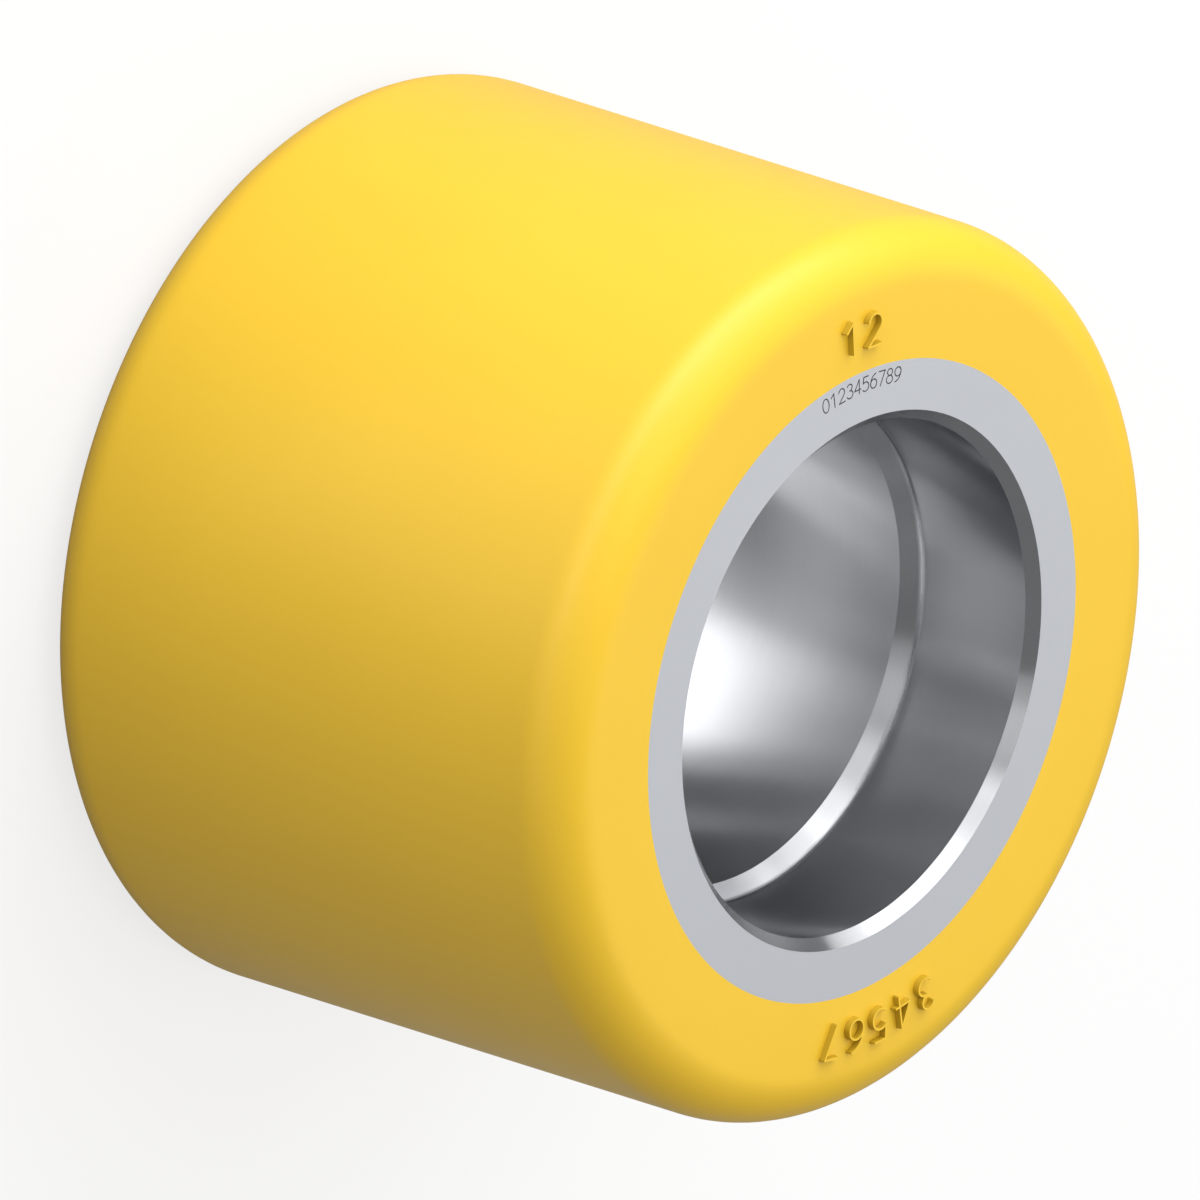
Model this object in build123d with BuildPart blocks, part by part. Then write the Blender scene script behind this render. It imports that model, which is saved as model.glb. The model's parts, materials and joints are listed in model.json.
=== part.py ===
from build123d import *
import os

# Load wheel of a pallet truck: a steel hub turned from tube, with a polyurethane tread cast round it.
# Sizes are in millimetres. The axis is +Z, the origin is the middle of the wheel, and the wheel
# stands on its back end, with the front end up. Both ends are alike.

# Width of the hub and of the tread, which end flush with each other
wheel_width = 60.0

# Bearing seats, one in each end of the hub
seat_diameter = 47.0  # press seat for the outer ring of a ball bearing
seat_depth = 12.8  # from the end face to the corner where the shoulder begins
seat_corner_radius = 1.0  # left by the turning tool, inside the rounded corner of the bearing
mouth_chamfer = 1.0  # lead-in for the bearing, at 45 degrees

# Shoulder that stops the bearing, a cone down to the bore between the seats
shoulder_height = 1.4  # how far the bore stands in from the seat
shoulder_run = 1.4  # length of the cone along the axis

# Steel left between the seat and the bonded surface
hub_wall = 5.65

# Tread, which brings the wheel to a running diameter of 82
tread_thickness = 11.85
tread_edge_radius = 5.0

half_width = wheel_width / 2
seat_radius = seat_diameter / 2
bore_radius = seat_radius - shoulder_height
hub_radius = seat_radius + hub_wall
shoulder_start = half_width - seat_depth
shoulder_end = shoulder_start - shoulder_run

os.makedirs("parts", exist_ok=True)

# Hub: the section of its front half, mirrored to the back half and turned about the axis
with BuildPart() as hub:
    with BuildSketch(Plane.XZ) as hub_section:
        with BuildLine():
            Polyline(
                (bore_radius, 0),
                (bore_radius, shoulder_end),
                (seat_radius, shoulder_start),
                (seat_radius, half_width - mouth_chamfer),
                (seat_radius + mouth_chamfer, half_width),
                (hub_radius, half_width),
                (hub_radius, 0),
                close=True,
            )
        make_face()
        seat_corner = hub_section.vertices().sort_by_distance((seat_radius, shoulder_start))[0]
        fillet(seat_corner, seat_corner_radius)
        mirror(about=Plane.XZ)
    revolve(axis=Axis.Z)

# Tread: a block section on the hub's outside, with both outer edges rounded
with BuildPart() as tread:
    with BuildSketch(Plane.XZ) as tread_section:
        with Locations((hub_radius, 0)):
            Rectangle(tread_thickness, wheel_width, align=(Align.MIN, Align.CENTER))
        running_edges = tread_section.vertices().group_by(Axis.X)[-1]
        fillet(running_edges, tread_edge_radius)
    revolve(axis=Axis.Z)

hub.part.label = "hub"
export_step(hub.part, "parts/hub.step")

tread.part.label = "tread"
export_step(tread.part, "parts/tread.step")
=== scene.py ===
"""Looks of a pallet truck load wheel: a turned steel hub with a yellow polyurethane tread cast round it.

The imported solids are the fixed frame. Hub and tread are bodies of revolution about +Z, so each is a
section that Geometry Nodes turn about that axis. The tread's raised numerals belong to its casting and are
merged with it, and the small numerals on the hub are cut into its front face. Lengths are in metres, and
angles in degrees.
"""

import json
import logging
import math
from dataclasses import dataclass, replace
from enum import Enum
from typing import Any

import bpy
from mathutils import Matrix, Vector

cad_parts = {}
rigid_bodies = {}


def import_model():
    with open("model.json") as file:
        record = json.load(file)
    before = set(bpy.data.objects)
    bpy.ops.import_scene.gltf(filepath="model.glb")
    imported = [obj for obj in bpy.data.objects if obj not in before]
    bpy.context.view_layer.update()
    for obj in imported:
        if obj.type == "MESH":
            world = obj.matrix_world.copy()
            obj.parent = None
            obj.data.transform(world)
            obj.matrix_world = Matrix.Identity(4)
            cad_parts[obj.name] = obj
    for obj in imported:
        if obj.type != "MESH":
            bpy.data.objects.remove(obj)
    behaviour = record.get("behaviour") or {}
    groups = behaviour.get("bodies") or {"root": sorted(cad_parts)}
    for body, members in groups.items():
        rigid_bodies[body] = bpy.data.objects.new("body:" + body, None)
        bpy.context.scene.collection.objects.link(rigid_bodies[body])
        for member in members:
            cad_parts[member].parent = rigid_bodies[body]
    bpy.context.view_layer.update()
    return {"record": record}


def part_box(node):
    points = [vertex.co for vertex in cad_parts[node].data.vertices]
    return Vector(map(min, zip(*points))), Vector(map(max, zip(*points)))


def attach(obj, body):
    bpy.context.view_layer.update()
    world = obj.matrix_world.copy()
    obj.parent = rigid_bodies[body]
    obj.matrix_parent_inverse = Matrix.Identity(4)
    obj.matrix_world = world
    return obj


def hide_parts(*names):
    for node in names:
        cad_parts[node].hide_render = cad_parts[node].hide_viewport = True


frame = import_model()

log = logging.getLogger("wheel")

MM = 0.001
BODY = "root"

# A facet belongs to an end of the wheel if at least this share of its normal runs along the axis
END_FACING = 0.95
# A facet belongs to a sunk numeral if it is nearer to the numeral's floor than this share of its depth
SUNK_SHARE = 0.98
# Turns the sheen of the lathe's rings by 90 degrees, so that it spreads along the wheel's axis
QUARTER_TURN = 0.25
# What smooth noise is on average
MEAN_NOISE = 0.5
# Side of the square panels beside the wheel
PANEL_SIDE = 0.2
WHITE = (1, 1, 1, 1)

Point2 = tuple[float, float]
Point3 = tuple[float, float, float]
Colour = tuple[float, float, float]


class Slot(Enum):
    """The record's material slots."""

    STEEL = "steel"
    POLYURETHANE = "polyurethane"


class Cut(Enum):
    """How a piece takes its numerals, as the Mesh Boolean node names it."""

    RAISED = "UNION"
    SUNK = "DIFFERENCE"


class Tree:
    """A node tree, with one method that adds every node."""

    def __init__(self, tree: bpy.types.NodeTree) -> None:
        """Wraps an empty or cleared tree."""
        self.tree = tree

    def node(
        self,
        kind: str,
        settings: dict[str, Any] | None = None,
        feeds: dict[str | int, Any] | None = None,
    ) -> bpy.types.Node:
        """Adds a node.

        Args:
            kind: The node's type.
            settings: Its own properties, which are set first because they decide its sockets.
            feeds: For each socket, by name or number, a value, a socket, a Number or a list of sockets.

        Returns:
            The new node.
        """
        made = self.tree.nodes.new(kind)
        for name, value in (settings or {}).items():
            setattr(made, name, value)
        for key, value in (feeds or {}).items():
            for item in value if isinstance(value, list) else [value]:
                self.feed(made, key, item)
        return made

    def feed(self, node: bpy.types.Node, key: str | int, value: Any) -> None:
        """Gives one input socket its value or its link.

        Args:
            node: The node that has the socket.
            key: The socket's name or number. Of several with one name, the one in use is meant.
            value: A plain value, an output socket or a Number.
        """
        if isinstance(key, int):
            socket = node.inputs[key]
        else:
            socket = next(s for s in node.inputs if s.name == key and s.enabled)
        source = value.socket if isinstance(value, Number) else value
        if isinstance(source, bpy.types.NodeSocket):
            self.tree.links.new(source, socket)
        else:
            socket.default_value = source

    def number(self, socket: bpy.types.NodeSocket) -> "Number":
        """Wraps an output socket, so that Python's operators work on it."""
        return Number(self, socket)

    def mix(self, share: "Number", first: Any, second: Any) -> bpy.types.NodeSocket:
        """A colour between two.

        Args:
            share: 0 for the first and 1 for the second.
            first: One colour, or the socket of one.
            second: The other colour, or the socket of one.

        Returns:
            The mixed colour's socket.
        """
        node = self.node("ShaderNodeMix", {"data_type": "RGBA"}, {"Factor": share})
        for key, colour in (("A", first), ("B", second)):
            self.feed(node, key, (*colour, 1) if isinstance(colour, tuple) else colour)
        return next(s for s in node.outputs if s.enabled)


class Number:
    """A number that varies from place to place: a socket on which operators add Math nodes."""

    def __init__(self, tree: Tree, socket: bpy.types.NodeSocket) -> None:
        """Wraps the socket that holds the number, and keeps the tree that gets its Math nodes."""
        self.tree = tree
        self.socket = socket

    def _math(self, operation: str, *terms: "Number | float") -> "Number":
        """Adds one Math node with those inputs, in order, and gives its result."""
        node = self.tree.node("ShaderNodeMath", {"operation": operation}, dict(enumerate(terms)))
        return Number(self.tree, node.outputs[0])

    def __add__(self, other: "Number | float") -> "Number":
        """self + other."""
        return self._math("ADD", self, other)

    __radd__ = __add__

    def __sub__(self, other: "Number | float") -> "Number":
        """self - other."""
        return self._math("SUBTRACT", self, other)

    def __rsub__(self, other: "Number | float") -> "Number":
        """other - self."""
        return self._math("SUBTRACT", other, self)

    def __mul__(self, other: "Number | float") -> "Number":
        """self * other."""
        return self._math("MULTIPLY", self, other)

    __rmul__ = __mul__

    def __truediv__(self, other: "Number | float") -> "Number":
        """self / other."""
        return self._math("DIVIDE", self, other)

    def __pow__(self, other: "Number | float") -> "Number":
        """self ** other."""
        return self._math("POWER", self, other)

    def absolute(self) -> "Number":
        """The number without its sign."""
        return self._math("ABSOLUTE", self)

    def above(self, other: "Number | float") -> "Number":
        """1 where the number is above another, and 0 elsewhere."""
        return self._math("GREATER_THAN", self, other)

    def greater(self, other: "Number | float") -> "Number":
        """The greater of two numbers."""
        return self._math("MAXIMUM", self, other)

    def cosine(self) -> "Number":
        """The cosine of an angle in radians."""
        return self._math("COSINE", self)

    def sine(self) -> "Number":
        """The sine of an angle in radians."""
        return self._math("SINE", self)


class Shape:
    """A Geometry Nodes tree with named inputs."""

    SOCKETS = {float: "NodeSocketFloat", int: "NodeSocketInt"}

    def __init__(self, name: str, inputs: dict[str, type | str]) -> None:
        """Makes the tree, its inputs and its one geometry output.

        Args:
            name: The tree's name.
            inputs: For each input's name, float, int or the type of its socket.
        """
        self.group = bpy.data.node_groups.new(name, "GeometryNodeTree")
        for label, kind in inputs.items():
            socket_type = self.SOCKETS.get(kind, kind)
            self.group.interface.new_socket(label, in_out="INPUT", socket_type=socket_type)
        self.group.interface.new_socket("Geometry", in_out="OUTPUT", socket_type="NodeSocketGeometry")
        self.tree = Tree(self.group)
        self.entry = self.tree.node("NodeGroupInput")

    def given(self, label: str) -> Number:
        """The input of that name."""
        return self.tree.number(self.entry.outputs[label])

    def out(self, kind: str, settings: dict[str, Any] | None = None, feeds: dict | None = None) -> Any:
        """Adds a node and gives its first output in use."""
        made = self.tree.node(kind, settings, feeds)
        return next(s for s in made.outputs if s.enabled)

    def axis(self, kind: str) -> Number:
        """The share along Z of a vector that a node of that type gives."""
        parts = self.tree.node("ShaderNodeSeparateXYZ", None, {0: self.out(kind)}).outputs
        return self.tree.number(parts["Z"])

    def finished(
        self, geometry: bpy.types.NodeSocket, finish: str, where: bpy.types.NodeSocket | None = None
    ) -> bpy.types.NodeSocket:
        """Adds a Set Material node.

        Args:
            geometry: What gets the material.
            finish: The input that gives the material.
            where: The facets that get it, or None for all.

        Returns:
            The geometry with its material.
        """
        feeds = {"Geometry": geometry, "Material": self.given(finish)}
        chosen = {} if where is None else {"Selection": where}
        return self.out("GeometryNodeSetMaterial", None, feeds | chosen)

    def end(self, geometry: bpy.types.NodeSocket) -> None:
        """Sends a geometry to the tree's output."""
        self.tree.node("NodeGroupOutput", None, {"Geometry": geometry})


def shape_mesh(name: str, source: bpy.types.Mesh, shape: Shape, values: dict[str, Any]) -> bpy.types.Object:
    """Runs a shape on a mesh and keeps the result as a plain mesh at the origin.

    Args:
        name: The new object's name.
        source: The mesh that the shape starts from.
        shape: The Geometry Nodes tree.
        values: The tree's inputs by name.

    Returns:
        An object with the resulting mesh and no modifier.
    """
    made = bpy.data.objects.new(name, source)
    bpy.context.scene.collection.objects.link(made)
    modifier = made.modifiers.new(name, "NODES")
    modifier.node_group = shape.group
    for item in shape.group.interface.items_tree:
        if item.in_out == "INPUT" and item.name in values:
            modifier[item.identifier] = values[item.name]
    graph = bpy.context.evaluated_depsgraph_get()
    result = bpy.data.meshes.new_from_object(made.evaluated_get(graph), depsgraph=graph)
    made.modifiers.remove(modifier)
    made.data = result
    result.name = name
    bpy.data.meshes.remove(source)
    return made


@dataclass(frozen=True)
class Corner:
    """A corner of a section.

    Args:
        radius: Its distance from the axis.
        height: Its place along the axis.
        rounding: The radius that rounds it, or 0 where it is sharp.
    """

    radius: float
    height: float
    rounding: float = 0.0


def section_mesh(name: str, corners: list[Corner]) -> bpy.types.Mesh:
    """Draws a closed section as edges in the XY plane, with each corner's rounding as an attribute.

    Args:
        name: The mesh's name.
        corners: The section's corners in order, clockwise with the radius to the right.

    Returns:
        The mesh, with radius along X and height along Y.
    """
    mesh = bpy.data.meshes.new(name)
    count = len(corners)
    points = [(c.radius, c.height, 0) for c in corners]
    mesh.from_pydata(points, [(i, (i + 1) % count) for i in range(count)], [])
    rounding = mesh.attributes.new("rounding", "FLOAT", "POINT")
    rounding.data.foreach_set("value", [c.rounding for c in corners])
    return mesh


def arc(centre: Point2, radii: Point2, start: float, end: float, steps: int = 14) -> list[Point2]:
    """Points from one angle to another on an ellipse with that centre, half width and half height."""
    angles = [math.radians(start + (end - start) * i / steps) for i in range(steps + 1)]
    return [(centre[0] + radii[0] * math.cos(a), centre[1] + radii[1] * math.sin(a)) for a in angles]


@dataclass(frozen=True)
class Numerals:
    """The ten numerals as a single-stroke engraver's alphabet, one high, each a list of strokes.

    A stroke turns smoothly. Where a numeral has a corner, one stroke ends and another begins.

    Args:
        width: Width of a numeral as a share of its height.
        round_steps: How many edges a full bowl has.
        same: How near the two ends of a closed stroke are.
    """

    width: float = 0.62
    round_steps: int = 28
    same: float = 1e-6

    def bowl(self, height: float, half_width: float, half_height: float) -> list[Point2]:
        """An oval on the numeral's middle line, centred at that height, its first point also its last."""
        return arc((self.width / 2, height), (half_width, half_height), 0, 360, self.round_steps)

    def strokes(self) -> list[list[list[Point2]]]:
        """The strokes of the numerals from 0 to 9."""
        w = self.width
        middle = w / 2
        bowl = self.bowl(0.31, middle, 0.31)
        tail = arc((w, 0.34), (w, 0.66), 180, 100)
        six = [bowl, tail]
        nine = [[(w - x, 1 - y) for x, y in stroke] for stroke in six]
        top_of_two = arc((middle, 0.71), (middle - 0.02, 0.29), 168, -38)
        belly_of_five = arc((middle - 0.03, 0.32), (middle + 0.03, 0.32), 132, -140)
        return [
            [self.bowl(0.5, middle, 0.5)],
            [[(0.08, 0.76), (0.36, 1)], [(0.36, 1), (0.36, 0)]],
            [top_of_two + [(0.02, 0)], [(0.02, 0), (w, 0)]],
            [arc((middle, 0.765), (0.25, 0.235), 152, -90), arc((middle, 0.265), (middle, 0.265), 90, -152)],
            [[(0.46, 0), (0.46, 1)], [(0.46, 1), (0, 0.3)], [(0, 0.3), (w, 0.3)]],
            [[(w - 0.06, 1), (0.1, 1)], [(0.1, 1), belly_of_five[0]], belly_of_five],
            six,
            [[(0, 1), (w, 1)], [(w, 1), (0.2, 0)]],
            [self.bowl(0.77, 0.25, 0.23), self.bowl(0.27, middle, 0.27)],
            nine,
        ]

    def collection(self) -> bpy.types.Collection:
        """Makes one object of bare edges for each numeral, centred on its own middle.

        Returns:
            A collection of the ten, in order of name, outside the scene.
        """
        made = bpy.data.collections.new("numerals")
        for digit, strokes in enumerate(self.strokes()):
            mesh = bpy.data.meshes.new(f"numeral_{digit}")
            points: list[Point3] = []
            edges: list[tuple[int, int]] = []
            for stroke in strokes:
                first = len(points)
                closed = math.dist(stroke[0], stroke[-1]) < self.same
                kept = stroke[:-1] if closed else stroke
                points += [(x - self.width / 2, y - 0.5, 0) for x, y in kept]
                edges += [(first + i, first + i + 1) for i in range(len(kept) - 1)]
                if closed:
                    edges.append((len(points) - 1, first))
            mesh.from_pydata(points, edges, [])
            made.objects.link(bpy.data.objects.new(mesh.name, mesh))
        return made


@dataclass(frozen=True)
class NumeralRow:
    """A row of numerals round an arc on the front face, their tops outward, read clockwise.

    Args:
        first: The first numeral. The rest count on from it.
        count: How many there are.
        radius: Distance from the axis to the numerals' middles.
        middle: Angle of the row's middle, from +X towards +Y.
        pitch: Angle from one numeral to the next.
        height: Height of a numeral.
        low: Where the strokes begin, from the face, along +Z.
        high: Where they end.
        low_width: Width of a stroke at its low end.
        high_width: Width of a stroke at its high end.
    """

    first: int
    count: int
    radius: float
    middle: float
    pitch: float
    height: float
    low: float
    high: float
    low_width: float
    high_width: float

    def feeds(self, face: Number) -> dict[str, Any]:
        """The inputs of the tree that makes a row.

        Args:
            face: Height of the face that carries the row.

        Returns:
            A value or a Number for each named input.
        """
        return {
            "First": self.first,
            "Count": self.count,
            "Radius": self.radius,
            "Middle": math.radians(self.middle),
            "Pitch": math.radians(self.pitch),
            "Size": self.height,
            "Low": face + self.low,
            "High": face + self.high,
            "Low Width": self.low_width,
            "High Width": self.high_width,
        }


def numeral_row_shape(end_sides: int = 16) -> Shape:
    """The tree that stands numerals along an arc and gives each stroke its body and its round ends.

    Args:
        end_sides: How many sides the round end of a stroke has.

    Returns:
        A shape whose output is one closed instance for each body.
    """
    numbers = ("Radius", "Middle", "Pitch", "Size", "Low", "High", "Low Width", "High Width")
    inputs: dict[str, type | str] = {"Numerals": "NodeSocketCollection", "First": int, "Count": int}
    shape = Shape("numerals_round_an_arc", inputs | {n: float for n in numbers})
    index = shape.tree.number(shape.out("GeometryNodeInputIndex"))
    first, count = shape.given("First"), shape.given("Count")
    angle = shape.given("Middle") + shape.given("Pitch") * ((count - 1) / 2 - index)
    low, high = shape.given("Low"), shape.given("High")
    radius = shape.given("Radius")
    place = {"X": radius * angle.cosine(), "Y": radius * angle.sine(), "Z": (low + high) / 2}
    where = shape.out("ShaderNodeCombineXYZ", None, place)
    upright = shape.out("ShaderNodeCombineXYZ", None, {"Z": angle - math.pi / 2})
    points = shape.out("GeometryNodePoints", None, {"Count": count, "Position": where})
    numerals = shape.out(
        "GeometryNodeCollectionInfo",
        None,
        {"Collection": shape.given("Numerals"), "Separate Children": True, "Reset Children": True},
    )
    written = shape.out(
        "GeometryNodeInstanceOnPoints",
        None,
        {
            "Points": points,
            "Instance": numerals,
            "Pick Instance": True,
            "Instance Index": first + index,
            "Rotation": shape.out("FunctionNodeEulerToRotation", None, {"Euler": upright}),
            "Scale": shape.given("Size"),
        },
    )
    edges = shape.out("GeometryNodeRealizeInstances", None, {"Geometry": written})
    lines = shape.out("GeometryNodeMeshToCurve", None, {"Mesh": edges})
    level = shape.out("GeometryNodeSetCurveNormal", {"mode": "Z_UP"}, {"Curve": lines})
    low_width, high_width = shape.given("Low Width"), shape.given("High Width")
    outline = shape.out(
        "GeometryNodeCurvePrimitiveQuadrilateral",
        {"mode": "TRAPEZOID"},
        {"Height": high - low, "Bottom Width": high_width, "Top Width": low_width, "Offset": 0.0},
    )
    bodies = shape.out(
        "GeometryNodeCurveToMesh", None, {"Curve": level, "Profile Curve": outline, "Fill Caps": True}
    )
    cone = shape.out(
        "GeometryNodeMeshCone",
        None,
        {
            "Vertices": end_sides,
            "Radius Bottom": low_width / 2,
            "Radius Top": high_width / 2,
            "Depth": high - low,
        },
    )
    lowered = shape.out("ShaderNodeCombineXYZ", None, {"Z": (low - high) / 2})
    end = shape.out("GeometryNodeTransform", None, {"Geometry": cone, "Translation": lowered})
    tips = shape.out("GeometryNodeCurveEndpointSelection")
    ends = shape.out(
        "GeometryNodeInstanceOnPoints", None, {"Points": lines, "Selection": tips, "Instance": end}
    )
    both = shape.out("GeometryNodeJoinGeometry", None, {"Geometry": [bodies, ends]})
    solid = shape.out("GeometryNodeRealizeInstances", None, {"Geometry": both})
    island = shape.out("GeometryNodeInputMeshIsland")
    shape.end(
        shape.out("GeometryNodeSplitToInstances", {"domain": "FACE"}, {"Geometry": solid, "Group ID": island})
    )
    return shape


def turned_section(shape: Shape) -> bpy.types.NodeSocket:
    """Adds the nodes that round the section's corners and turn it about +Z.

    Args:
        shape: The tree, with its inputs for the section.

    Returns:
        The turned body, whose faces look outward.
    """
    drawn = shape.out("GeometryNodeMeshToCurve", None, {"Mesh": shape.given("Section")})
    rounding = shape.out("GeometryNodeInputNamedAttribute", {"data_type": "FLOAT"}, {"Name": "rounding"})
    rounded = shape.out(
        "GeometryNodeFilletCurve",
        {"mode": "POLY"},
        {"Curve": drawn, "Count": shape.given("Rounding Steps"), "Radius": rounding},
    )
    path_radius = shape.given("Path Radius")
    inward = shape.out("ShaderNodeCombineXYZ", None, {"X": 0 - path_radius})
    profile = shape.out(
        "GeometryNodeTransform", None, {"Geometry": rounded, "Translation": inward, "Scale": (1, -1, 1)}
    )
    circle = shape.out(
        "GeometryNodeCurvePrimitiveCircle",
        {"mode": "RADIUS"},
        {"Resolution": shape.given("Segments"), "Radius": path_radius},
    )
    path = shape.out("GeometryNodeSetCurveNormal", {"mode": "Z_UP"}, {"Curve": circle})
    return shape.out("GeometryNodeCurveToMesh", None, {"Curve": path, "Profile Curve": profile})


def creased_solid(shape: Shape, solid: bpy.types.NodeSocket) -> bpy.types.NodeSocket:
    """Adds the nodes that shade a body smooth between its sharp edges.

    Args:
        shape: The tree, with its input for the crease.
        solid: The body.

    Returns:
        The body as one plain mesh.
    """
    bend = shape.out("GeometryNodeInputMeshEdgeAngle")
    sharp = shape.out("FunctionNodeCompare", None, {"A": bend, "B": shape.given("Crease")})
    creased = shape.out(
        "GeometryNodeStoreNamedAttribute",
        {"data_type": "BOOLEAN", "domain": "EDGE"},
        {"Geometry": solid, "Name": "sharp_edge", "Value": sharp},
    )
    smooth = shape.out("GeometryNodeSetShadeSmooth", None, {"Geometry": creased})
    return shape.out("GeometryNodeRealizeInstances", None, {"Geometry": smooth})


def turned_shape(name: str, cut: Cut, rows: list[NumeralRow]) -> Shape:
    """The tree that turns a section about +Z, merges or cuts its numerals and lays on the finishes.

    Args:
        name: The tree's name.
        cut: Whether the numerals are raised or sunk.
        rows: The rows of numerals on the front face.

    Returns:
        A shape that starts from a section.
    """
    inputs: dict[str, type | str] = {
        "Section": "NodeSocketGeometry",
        "Numerals": "NodeSocketCollection",
        "Face": float,
        "Path Radius": float,
        "Segments": int,
        "Rounding Steps": int,
        "Crease": float,
        "Finish": "NodeSocketMaterial",
        "End Finish": "NodeSocketMaterial",
        "Sunk Finish": "NodeSocketMaterial",
        "Sunk Depth": float,
    }
    shape = Shape(name, inputs)
    face = shape.given("Face")
    turned = turned_section(shape)
    row_shape = numeral_row_shape()
    marks = [
        shape.out(
            "GeometryNodeGroup",
            {"node_tree": row_shape.group},
            {"Numerals": shape.given("Numerals"), **row.feeds(face)},
        )
        for row in rows
    ]
    both = {1: [turned, *marks]} if cut is Cut.RAISED else {0: turned, 1: marks}
    solid = shape.out("GeometryNodeMeshBoolean", {"operation": cut.value, "solver": "MANIFOLD"}, both)
    plain = creased_solid(shape, solid)
    along = shape.axis("GeometryNodeInputNormal").absolute()
    at_end = shape.out("FunctionNodeCompare", None, {"A": along, "B": END_FACING})
    depth = shape.given("Sunk Depth")
    off_floor = (shape.axis("GeometryNodeInputPosition") - (face - depth)).absolute()
    sunk = shape.out(
        "FunctionNodeCompare", {"operation": "LESS_THAN"}, {"A": off_floor, "B": depth * SUNK_SHARE}
    )
    done = shape.finished(plain, "Finish")
    ended = shape.finished(done, "End Finish", at_end)
    shape.end(shape.finished(ended, "Sunk Finish", sunk))
    return shape


class Surface(Tree):
    """A material's tree: the piece's own coordinates come in, and one Principled shader goes out."""

    def __init__(self, name: str) -> None:
        """Makes the material with an empty tree.

        Args:
            name: The material's name.
        """
        self.material = bpy.data.materials.new(name)
        self.material.use_nodes = True
        super().__init__(self.material.node_tree)
        self.tree.nodes.clear()
        self.place = self.node("ShaderNodeTexCoord").outputs["Object"]

    def parts(self, vector: bpy.types.NodeSocket) -> list[Number]:
        """X, Y and Z of a vector."""
        return [self.number(s) for s in self.node("ShaderNodeSeparateXYZ", None, {0: vector}).outputs]

    def axes(self) -> list[Number]:
        """X, Y and Z of the place on the piece."""
        return self.parts(self.place)

    def normal(self) -> list[Number]:
        """X, Y and Z of the direction that the surface faces."""
        return self.parts(self.node("ShaderNodeTexCoord").outputs["Normal"])

    def noise(self, place: bpy.types.NodeSocket, size: float, detail: float = 2.0) -> Number:
        """Smooth noise from 0 to 1.

        Args:
            place: The coordinates.
            size: The length of one of its waves.
            detail: How many finer octaves it has.

        Returns:
            The noise.
        """
        scaled = self.node("ShaderNodeVectorMath", {"operation": "SCALE"}, {0: place, "Scale": 1 / size})
        feeds = {"Vector": scaled.outputs[0], "Scale": 1.0, "Detail": detail}
        return self.number(self.node("ShaderNodeTexNoise", None, feeds).outputs[0])

    def bump(self, height: Number) -> bpy.types.NodeSocket:
        """The normal of a surface that stands out by a height in metres."""
        feeds = {"Strength": 1.0, "Distance": 1.0, "Height": height}
        return self.node("ShaderNodeBump", None, feeds).outputs[0]

    def finish(self, feeds: dict[str, Any]) -> bpy.types.Material:
        """Ends the tree.

        Args:
            feeds: The Principled shader's sockets.

        Returns:
            The finished material.
        """
        shader = self.node("ShaderNodeBsdfPrincipled", None, feeds).outputs[0]
        self.node("ShaderNodeOutputMaterial", None, {"Surface": shader})
        return self.material


@dataclass(frozen=True)
class CastPolyurethane:
    """Yellow polyurethane as it leaves the mould: even and faintly cloudy, glossier where it runs.

    Args:
        light: Its colour where it is lightest.
        deep: Its colour where it is deepest.
        roughness: Mean roughness of the skin.
        cloud: Length of the clouds of colour.
        ripple: Length of the skin's slow ripples.
        ripple_depth: Their depth.
        pore: Length of its fine grain.
        pore_depth: Depth of the grain.
        unevenness: How much ripples and grain change the roughness.
        sheen: Strength of its reflection, which is 0.5 for a common plastic.
        gloss: Weight of the clear skin on the running surface, which the end faces lack.
        gloss_ior: Its refractive index.
        gloss_roughness: Its roughness.
        painted_flank_shade: Painted shade, a darker colour on the steep flanks of the raised numerals that
            stands in for the shade falling on them.
        numeral_start: Height above the face from which a place belongs to a numeral.
    """

    light: Colour = (0.89, 0.565, 0.035)
    deep: Colour = (0.865, 0.54, 0.032)
    roughness: float = 0.4
    cloud: float = 14 * MM
    ripple: float = 5 * MM
    ripple_depth: float = 4e-3 * MM
    pore: float = 0.5 * MM
    pore_depth: float = 0.8e-3 * MM
    unevenness: float = 0.05
    sheen: float = 0.2
    gloss: float = 0.25
    gloss_ior: float = 2.0
    gloss_roughness: float = 0.35
    # Painted shade: this darker colour goes on the numerals' steep flanks in place of the shade that falls
    # there
    painted_flank_shade: Colour = (0.42, 0.27, 0.01)
    numeral_start: float = 0.01 * MM

    def material(self, face: float) -> bpy.types.Material:
        """Makes the material.

        Args:
            face: Height of the face that the numerals stand on.

        Returns:
            The material.
        """
        surface = Surface("cast_polyurethane")
        steep = 1 - surface.normal()[2].absolute()
        # Picks out the raised numerals, whose steep flanks get the painted shade
        numeral = surface.axes()[2].above(face + self.numeral_start)
        clouds = surface.noise(surface.place, self.cloud, detail=3.0)
        ripples = surface.noise(surface.place, self.ripple) - MEAN_NOISE
        grain = surface.noise(surface.place, self.pore) - MEAN_NOISE
        skin = surface.mix(clouds, self.deep, self.light)
        return surface.finish(
            {
                # Painted shade: darkens the steep flanks of the raised numerals
                "Base Color": surface.mix(numeral * steep, skin, self.painted_flank_shade),
                "Roughness": self.roughness + (ripples + grain) * self.unevenness,
                "Normal": surface.bump(ripples * self.ripple_depth + grain * self.pore_depth),
                "Specular IOR Level": self.sheen,
                "Coat Weight": steep * self.gloss,
                "Coat Roughness": self.gloss_roughness,
                "Coat IOR": self.gloss_ior,
            }
        )


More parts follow.
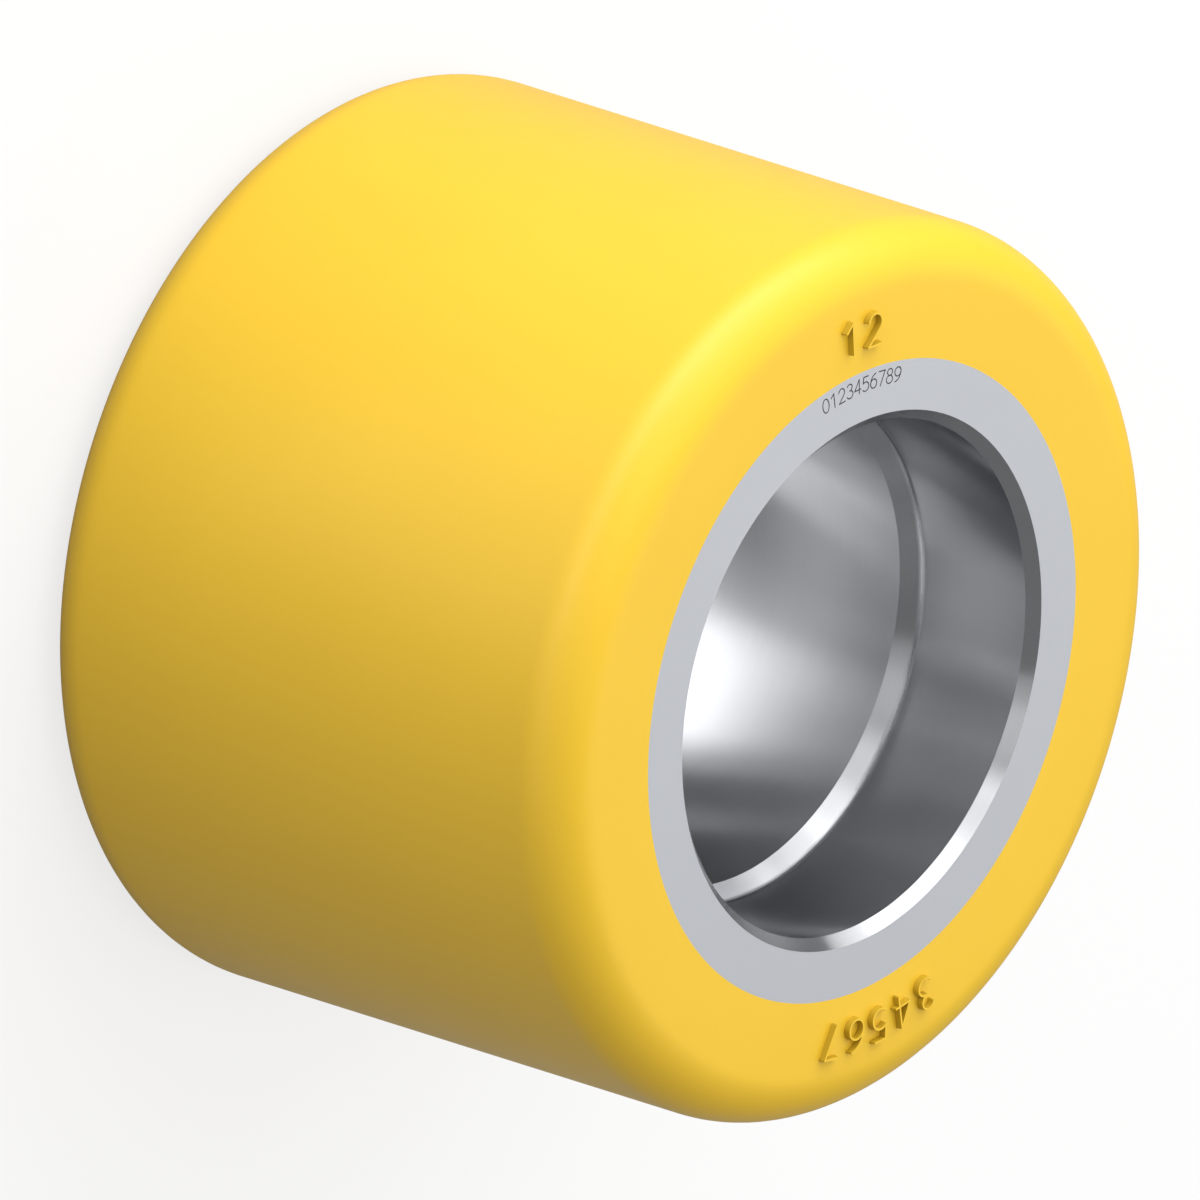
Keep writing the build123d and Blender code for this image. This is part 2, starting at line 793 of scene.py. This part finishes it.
@dataclass(frozen=True)
class TurnedSteel:
    """Bare steel from the lathe, with fine rings round the axis left by the tool.

    Its tone runs from dark to light with the rings, with wider bands of them and with faint stains.

    Args:
        name: The material's name.
        light: Its lightest colour.
        dark: Its darkest colour.
        roughness: Mean roughness.
        anisotropy: How far a reflection is stretched across the rings.
        ring: Width of a ring.
        ring_depth: Depth of a ring.
        waver: How much the rings change round the axis.
        bands: How many rings a wider band takes up.
        stain: Length of the faint stains.
        ring_tone: Share of the rings in the tone.
        band_tone: Share of the bands in the tone.
        stain_tone: Share of the stains in the tone.
        ring_unevenness: How much the rings change the roughness.
        stain_unevenness: How much the stains change it.
        seat_smoothness: How much less rough the seats are.
    """

    name: str
    light: Colour
    dark: Colour
    roughness: float
    anisotropy: float
    ring: float = 0.16 * MM
    ring_depth: float = 0.02e-3 * MM
    waver: float = 0.01
    bands: float = 12
    stain: float = 9 * MM
    ring_tone: float = 0.3
    band_tone: float = 0.2
    stain_tone: float = 0.5
    ring_unevenness: float = 0.02
    stain_unevenness: float = 0.04
    seat_smoothness: float = 0.0

    def material(self, seat_start: float) -> bpy.types.Material:
        """Makes the material.

        Args:
            seat_start: Distance from the wheel's middle, along the axis, at which a seat begins.

        Returns:
            The material.
        """
        surface = Surface(self.name)
        x, y, z = surface.axes()
        radius = (x * x + y * y) ** 0.5
        turn = {"X": radius, "Y": z, "Z": (x + y) * self.waver}
        round_the_axis = surface.node("ShaderNodeCombineXYZ", None, turn).outputs[0]
        rings = surface.noise(round_the_axis, self.ring, detail=1.0)
        bands = surface.noise(round_the_axis, self.bands * self.ring)
        stains = surface.noise(surface.place, self.stain, detail=4.0)
        tone = rings * self.ring_tone + bands * self.band_tone + stains * self.stain_tone
        from_rings = (rings - MEAN_NOISE) * self.ring_unevenness
        from_stains = (stains - MEAN_NOISE) * self.stain_unevenness
        smoother = z.absolute().above(seat_start) * self.seat_smoothness
        return surface.finish(
            {
                "Base Color": surface.mix(tone, self.dark, self.light),
                "Metallic": 1.0,
                "Roughness": from_rings + from_stains - smoother + self.roughness,
                "Anisotropic": self.anisotropy,
                "Anisotropic Rotation": QUARTER_TURN,
                "Normal": surface.bump(rings * self.ring_depth),
            }
        )


@dataclass(frozen=True)
class EngravedSteel:
    """The scorched floor of the sunk numerals.

    Args:
        dark: Its darkest colour.
        light: Its lightest colour.
        soot: Length of the spots of soot.
        metallic: How much of it is bare metal.
        roughness: Mean roughness.
        unevenness: How much the soot changes the roughness.
    """

    dark: Colour = (0.055, 0.056, 0.06)
    light: Colour = (0.088, 0.09, 0.096)
    soot: float = 0.12 * MM
    metallic: float = 0.5
    roughness: float = 0.6
    unevenness: float = 0.2

    def material(self) -> bpy.types.Material:
        """Makes the material."""
        surface = Surface("engraved_steel")
        soot = surface.noise(surface.place, self.soot)
        return surface.finish(
            {
                "Base Color": surface.mix(soot, self.dark, self.light),
                "Metallic": self.metallic,
                "Roughness": (soot - MEAN_NOISE) * self.unevenness + self.roughness,
            }
        )


@dataclass(frozen=True)
class WheelSizes:
    """Sizes of the wheel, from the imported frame.

    Args:
        half_width: Height of the front face above the wheel's middle.
        tread_radius: Outer radius of the tread.
        hub_radius: Outer radius of the hub, where the tread begins.
        seat_radius: Radius of the bearing seats.
        bore_radius: Radius of the bore between them.
        bore_half_length: Half the length of that bore.
    """

    half_width: float
    tread_radius: float
    hub_radius: float
    seat_radius: float
    bore_radius: float
    bore_half_length: float

    @classmethod
    def from_frame(cls) -> "WheelSizes":
        """Reads the nodes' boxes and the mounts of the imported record."""
        mounts = {m["name"]: m["dims"] for m in frame["record"]["mounts"] if m["kind"] == "bore"}
        tread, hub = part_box("tread")[1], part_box("hub")[1]
        return cls(
            half_width=hub.z,
            tread_radius=max(tread.x, tread.y),
            hub_radius=max(hub.x, hub.y),
            seat_radius=mounts["seat_front"]["r_mm"] * MM,
            bore_radius=mounts["through_bore"]["r_mm"] * MM,
            bore_half_length=mounts["through_bore"]["length_mm"] * MM / 2,
        )


@dataclass
class TurnedPiece:
    """A piece of the wheel that is a body of revolution, and the numerals on its front face.

    Args:
        sizes: The wheel's sizes.
        numerals: The alphabet's objects.
        segments: How many facets the piece has round the axis.
        rounding_steps: How many facets each rounded corner has.
        crease: Angle past which an edge stays sharp.
    """

    sizes: WheelSizes
    numerals: bpy.types.Collection
    segments: int = 288
    rounding_steps: int = 16
    crease: float = 28.0

    def shaped(
        self, name: str, corners: list[Corner], shape: Shape, finishes: dict[str, Any]
    ) -> bpy.types.Object:
        """Turns a section into the piece's mesh.

        Args:
            name: The piece's name.
            corners: The section, clockwise with the radius to the right.
            shape: The tree that turns it.
            finishes: The tree's materials and what goes with them.

        Returns:
            The finished object.
        """
        values = {
            "Numerals": self.numerals,
            "Face": self.sizes.half_width,
            "Path Radius": self.sizes.hub_radius,
            "Segments": self.segments,
            "Rounding Steps": self.rounding_steps,
            "Crease": math.radians(self.crease),
        }
        return shape_mesh(name, section_mesh(name, corners), shape, values | finishes)


@dataclass
class Tread(TurnedPiece):
    """The polyurethane tread, with two rows of raised numerals.

    Args:
        edge: Radius of its running edges.
        finish: What it is made of.
        top: The row at twelve o'clock.
        bottom: The row at six o'clock.
    """

    edge: float = 5 * MM
    finish: CastPolyurethane = CastPolyurethane()
    top: NumeralRow = NumeralRow(
        first=1,
        count=2,
        radius=33 * MM,
        middle=90.6,
        pitch=5.4,
        height=3 * MM,
        low=-0.1 * MM,
        high=0.6 * MM,
        low_width=0.36 * MM,
        high_width=0.2 * MM,
    )
    bottom: NumeralRow = replace(top, first=3, count=5, middle=-86.8, pitch=5.6)

    def build(self) -> bpy.types.Object:
        """Makes the tread's object."""
        s = self.sizes
        corners = [
            Corner(s.hub_radius, s.half_width),
            Corner(s.tread_radius, s.half_width, self.edge),
            Corner(s.tread_radius, -s.half_width, self.edge),
            Corner(s.hub_radius, -s.half_width),
        ]
        shape = turned_shape("turned_tread", Cut.RAISED, [self.top, self.bottom])
        material = self.finish.material(s.half_width)
        finishes = {"Finish": material, "End Finish": material, "Sunk Finish": material}
        return self.shaped("tread_cast", corners, shape, finishes)


@dataclass
class Hub(TurnedPiece):
    """The steel hub, with its bearing seats and a row of sunk numerals.

    Args:
        mouth: Chamfer of the seats' mouths.
        seat_corner: Radius between seat and shoulder.
        bored: Finish of the seats, the shoulders and the bore.
        ends: Finish of the end faces.
        marked: Finish of the sunk numerals.
        row: The numerals.
    """

    mouth: float = 1 * MM
    seat_corner: float = 1 * MM
    bored: TurnedSteel = TurnedSteel(
        name="bored_steel",
        light=(0.62, 0.63, 0.65),
        dark=(0.52, 0.53, 0.55),
        roughness=0.29,
        anisotropy=0.95,
        seat_smoothness=0.07,
    )
    ends: TurnedSteel = TurnedSteel(
        name="faced_steel",
        light=(0.49, 0.505, 0.535),
        dark=(0.47, 0.485, 0.515),
        roughness=0.42,
        anisotropy=0.0,
    )
    marked: EngravedSteel = EngravedSteel()
    row: NumeralRow = NumeralRow(
        first=0,
        count=10,
        radius=27.9 * MM,
        middle=90,
        pitch=2.24,
        height=1.35 * MM,
        low=-0.05 * MM,
        high=0.05 * MM,
        low_width=0.09 * MM,
        high_width=0.15 * MM,
    )

    def build(self) -> bpy.types.Object:
        """Makes the hub's object."""
        s = self.sizes
        shoulder = s.bore_half_length + (s.seat_radius - s.bore_radius)
        front = [
            Corner(s.bore_radius, s.bore_half_length),
            Corner(s.seat_radius, shoulder, self.seat_corner),
            Corner(s.seat_radius, s.half_width - self.mouth),
            Corner(s.seat_radius + self.mouth, s.half_width),
            Corner(s.hub_radius, s.half_width),
        ]
        back = [Corner(c.radius, -c.height, c.rounding) for c in reversed(front)]
        shape = turned_shape("turned_hub", Cut.SUNK, [self.row])
        finishes = {
            "Finish": self.bored.material(shoulder),
            "End Finish": self.ends.material(shoulder),
            "Sunk Finish": self.marked.material(),
            "Sunk Depth": -self.row.low,
        }
        return self.shaped("hub_turned", front + back, shape, finishes)


@dataclass(frozen=True)
class PhotoView:
    """The photograph's parallel view, in the wheel's own frame. Its picture has the wheel's +Y upright.

    Args:
        turn: Angle of the wheel's axis from the line of sight, seen from above.
        lift: Angle of the line of sight above the wheel's axis.
        photo_px: Side of the photograph.
        px_per_metre: Its scale.
        face_px: Pixel of the middle of the front face.
        distance: How far the camera stands off.
        reach: The nearest and the farthest place that it sees.
    """

    turn: float = 50.0
    lift: float = 22.0
    photo_px: int = 1200
    px_per_metre: float = 11410.0
    face_px: Point2 = (861.8, 680.8)
    distance: float = 0.6
    reach: tuple[float, float] = (0.01, 10.0)

    def direction(self, right: float, up: float, toward: float) -> Vector:
        """A direction told as in the picture, in the wheel's frame.

        Args:
            right: Its share to the right of the picture.
            up: Its share to the top of the picture.
            toward: Its share towards the camera.

        Returns:
            The direction, one long.
        """
        turn, lift = math.radians(self.turn), math.radians(self.lift)
        to_right = Vector((math.cos(turn), 0, math.sin(turn)))
        level = Vector((-math.sin(turn), 0, math.cos(turn)))
        to_camera = math.cos(lift) * level + Vector((0, math.sin(lift), 0))
        to_top = to_camera.cross(to_right)
        return (right * to_right + up * to_top + toward * to_camera).normalized()

    def camera(self, half_width: float) -> None:
        """Makes the scene's camera.

        Args:
            half_width: Height of the front face above the wheel's middle.
        """
        right, up, toward = (self.direction(*axis) for axis in ((1, 0, 0), (0, 1, 0), (0, 0, 1)))
        middle = self.photo_px / 2
        aside, below = ((px - middle) / self.px_per_metre for px in self.face_px)
        data = bpy.data.cameras.new("photo_view")
        data.type = "ORTHO"
        data.ortho_scale = self.photo_px / self.px_per_metre
        data.clip_start, data.clip_end = self.reach
        made = bpy.data.objects.new("photo_view", data)
        place = Vector((0, 0, half_width)) - aside * right + below * up + self.distance * toward
        made.matrix_world = Matrix.Translation(place) @ Matrix((right, up, toward)).transposed().to_4x4()
        bpy.context.scene.collection.objects.link(made)
        bpy.context.scene.camera = made


def area_lamp(name: str, shape: str, size: float, watts: float, place: Vector, facing: Vector) -> None:
    """Adds an area lamp, which shows in reflections but not to the camera.

    Args:
        name: Its name.
        shape: SQUARE or DISK.
        size: Its side or its width.
        watts: Its power.
        place: Where it stands.
        facing: The direction of its light.
    """
    data = bpy.data.lights.new(name, "AREA")
    data.shape, data.size, data.energy = shape, size, watts
    made = bpy.data.objects.new(name, data)
    made.location = place
    made.rotation_mode = "QUATERNION"
    made.rotation_quaternion = facing.to_track_quat("-Z", "Y")
    made.visible_camera = False
    bpy.context.scene.collection.objects.link(made)


@dataclass(frozen=True)
class Softbox:
    """A square lamp that faces the wheel's middle.

    Args:
        direction: Where it stands, as a direction of any length in the wheel's frame.
        watts: Its power.
        side: Length of its side.
        distance: How far from the wheel's middle it stands.
    """

    direction: Point3
    watts: float
    side: float = 0.42
    distance: float = 0.9

    def build(self, name: str) -> None:
        """Adds the lamp under that name."""
        out = Vector(self.direction).normalized()
        area_lamp(name, "SQUARE", self.side, self.watts, self.distance * out, -out)


@dataclass(frozen=True)
class LowLamp:
    """A lamp near the floor: a small round one inside the bore, or a square panel beside the wheel.

    Args:
        name: Its name.
        place: Its place, with the height counted from the floor.
        facing: The direction of its light.
        watts: Its power.
        shape: SQUARE or DISK.
        width: Its side or its width.
    """

    name: str
    place: Point3
    facing: Point3
    watts: float
    shape: str = "DISK"
    width: float = 10 * MM

    def build(self, floor_height: float) -> None:
        """Adds the lamp over a floor of that height."""
        place = Vector(self.place) + Vector((0, 0, floor_height))
        area_lamp(self.name, self.shape, self.width, self.watts, place, Vector(self.facing).normalized())


@dataclass
class Studio:
    """A pale floor in a white room, softboxes round the wheel and low lamps beside it and in its bore.

    Args:
        floor_height: Height of the floor, on which the wheel stands.
        floor_side: Length of the floor's side.
        softboxes: The lamps round the wheel.
        low_lamps: The panels beside the wheel and the small lamps in its bore.
        room: How bright the room is that lights the wheel.
        shade: How much of its light the floor throws back on the wheel.
        paint: The floor's own grey, as one sees it.
        white: Share of plain white in what the camera sees of the floor.
        mirrored: How much of the white floor and room shows in reflections.
    """

    floor_height: float
    floor_side: float = 6.0
    softboxes: tuple[Softbox, ...] = (
        Softbox((-0.22, 0.20, 0.95), 0.443),
        Softbox((0.28, 0.36, 0.89), 0.472),
        Softbox((0.47, -0.30, 0.83), 0.969),
        Softbox((-0.16, 0.58, 0.80), 0.787),
        Softbox((0.64, 0.23, 0.73), 0.584),
        Softbox((-0.66, 0.27, 0.70), 0.273),
        Softbox((0.23, 0.73, 0.64), 0.965),
        Softbox((0.80, -0.18, 0.58), 0.738),
        Softbox((0.67, 0.56, 0.48), 0.789),
        Softbox((-0.04, 0.92, 0.39), 1.187),
        Softbox((-0.78, 0.55, 0.30), 0.35),
        Softbox((0.48, 0.84, 0.23), 1.868),
        Softbox((-0.38, 0.91, 0.14), 0.623),
        Softbox((-0.97, 0.25, 0.05), 0.385),
        Softbox((0.19, 0.97, 0.12), 1.564),
        Softbox((-0.19, 0.97, 0.12), 0.953),
        Softbox((-0.55, 0.83, 0.12), 0.673),
        Softbox((-0.83, 0.55, 0.12), 0.761),
        Softbox((-0.97, -0.19, 0.12), 0.249),
    )
    low_lamps: tuple[LowLamp, ...] = (
        LowLamp("panel_upper", (0, 0.4, 0.061), (0, -0.5, 0.86), 0.227, "SQUARE", PANEL_SIDE),
        LowLamp("panel_left", (-0.153, 0.129, 0.001), (0, 0, 1), 0.051, "SQUARE", PANEL_SIDE),
        LowLamp("bore_lamp_1", (12 * MM, 7 * MM, 0.5 * MM), (0, 0, 1), 0.000846),
        LowLamp("bore_lamp_2", (6 * MM, 0, 14 * MM), (0.82, -0.57, -0.1), 0.000354),
        LowLamp("bore_lamp_3", (6 * MM, 0, 14 * MM), (0.5, -0.87, -0.1), 0.000683),
        LowLamp("bore_lamp_4", (10 * MM, -7 * MM, 28 * MM), (0.88, 0.47, -0.1), 0.000148),
        LowLamp("bore_lamp_5", (5 * MM, -9 * MM, 40 * MM), (0.88, 0.47, -0.1), 0.000088),
        LowLamp("bore_lamp_6", (11 * MM, -15 * MM, 14 * MM), (0.42, 0.91, -0.1), 0.000472),
        LowLamp("bore_lamp_7", (11 * MM, -15 * MM, 28 * MM), (0.42, 0.91, -0.1), 0.000164),
        LowLamp("bore_lamp_8", (8 * MM, -2 * MM, 14 * MM), (1, 0, -0.1), 0.000209),
    )
    room: float = 0.402
    shade: float = 0.2
    paint: float = 0.9
    white: float = 0.75
    mirrored: float = 0.2

    def build(self) -> None:
        """Adds the room, the floor and the lamps."""
        self.build_room()
        self.build_floor()
        for number, softbox in enumerate(self.softboxes, 1):
            softbox.build(f"softbox_{number}")
        for lamp in self.low_lamps:
            lamp.build(self.floor_height)

    def sight(self, tree: Tree) -> tuple[Number, Number]:
        """Tells the rays that see the room from those that light things.

        Args:
            tree: The tree that asks.

        Returns:
            1 for rays from the camera, and 1 for reflected or transmitted rays.
        """
        path = tree.node("ShaderNodeLightPath").outputs
        camera, glossy, through = (
            tree.number(path[kind]) for kind in ("Is Camera Ray", "Is Glossy Ray", "Is Transmission Ray")
        )
        return camera, glossy.greater(through)

    def build_room(self) -> None:
        """Makes the world: white where it is seen, and a plain dim light on the wheel."""
        world = bpy.data.worlds.new("white_room")
        bpy.context.scene.world = world
        world.use_nodes = True
        tree = Tree(world.node_tree)
        tree.tree.nodes.clear()
        camera, mirror = self.sight(tree)
        strength = camera + mirror * self.mirrored + (1 - camera.greater(mirror)) * self.room
        light = tree.node("ShaderNodeBackground", None, {"Color": WHITE, "Strength": strength})
        tree.node("ShaderNodeOutputWorld", None, {"Surface": light.outputs[0]})

    def build_floor(self) -> None:
        """Makes the floor, which keeps the wheel's shadow and is otherwise near white to the camera."""
        half = self.floor_side / 2
        mesh = bpy.data.meshes.new("floor")
        corners = [(x * half, y * half, self.floor_height) for x, y in ((-1, -1), (1, -1), (1, 1), (-1, 1))]
        mesh.from_pydata(corners, [], [(0, 1, 2, 3)])
        made = bpy.data.objects.new("floor", mesh)
        bpy.context.scene.collection.objects.link(made)
        material = bpy.data.materials.new("pale_floor")
        material.use_nodes = True
        tree = Tree(material.node_tree)
        tree.tree.nodes.clear()
        camera, mirror = self.sight(tree)
        seen = camera + mirror * self.mirrored
        painted = tree.mix(seen, (self.shade,) * 3, (self.paint,) * 3)
        matt = tree.node("ShaderNodeBsdfDiffuse", None, {"Color": painted}).outputs[0]
        white = tree.node("ShaderNodeEmission", None, {"Color": WHITE, "Strength": 1.0}).outputs[0]
        mixed = tree.node("ShaderNodeMixShader", None, {0: seen * self.white, 1: matt, 2: white})
        tree.node("ShaderNodeOutputMaterial", None, {"Surface": mixed.outputs[0]})
        mesh.materials.append(material)


def main() -> None:
    """Builds the wheel's pieces, the studio and the camera."""
    logging.basicConfig(level=logging.INFO, format="%(name)s: %(message)s")
    bpy.context.scene.view_settings.view_transform = "Standard"
    sizes = WheelSizes.from_frame()
    alphabet = Numerals().collection()
    for piece, node, slot in (
        (Tread(sizes, alphabet).build(), "tread", Slot.POLYURETHANE),
        (Hub(sizes, alphabet).build(), "hub", Slot.STEEL),
    ):
        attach(piece, BODY)
        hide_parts(node)
        log.info("%s stands for %s: %d faces", piece.name, node, len(piece.data.polygons))
    for numeral in list(alphabet.objects):
        bpy.data.objects.remove(numeral)
    bpy.data.collections.remove(alphabet)
    PhotoView().camera(sizes.half_width)
    Studio(-sizes.half_width).build()


if __name__ == "__main__":
    main()
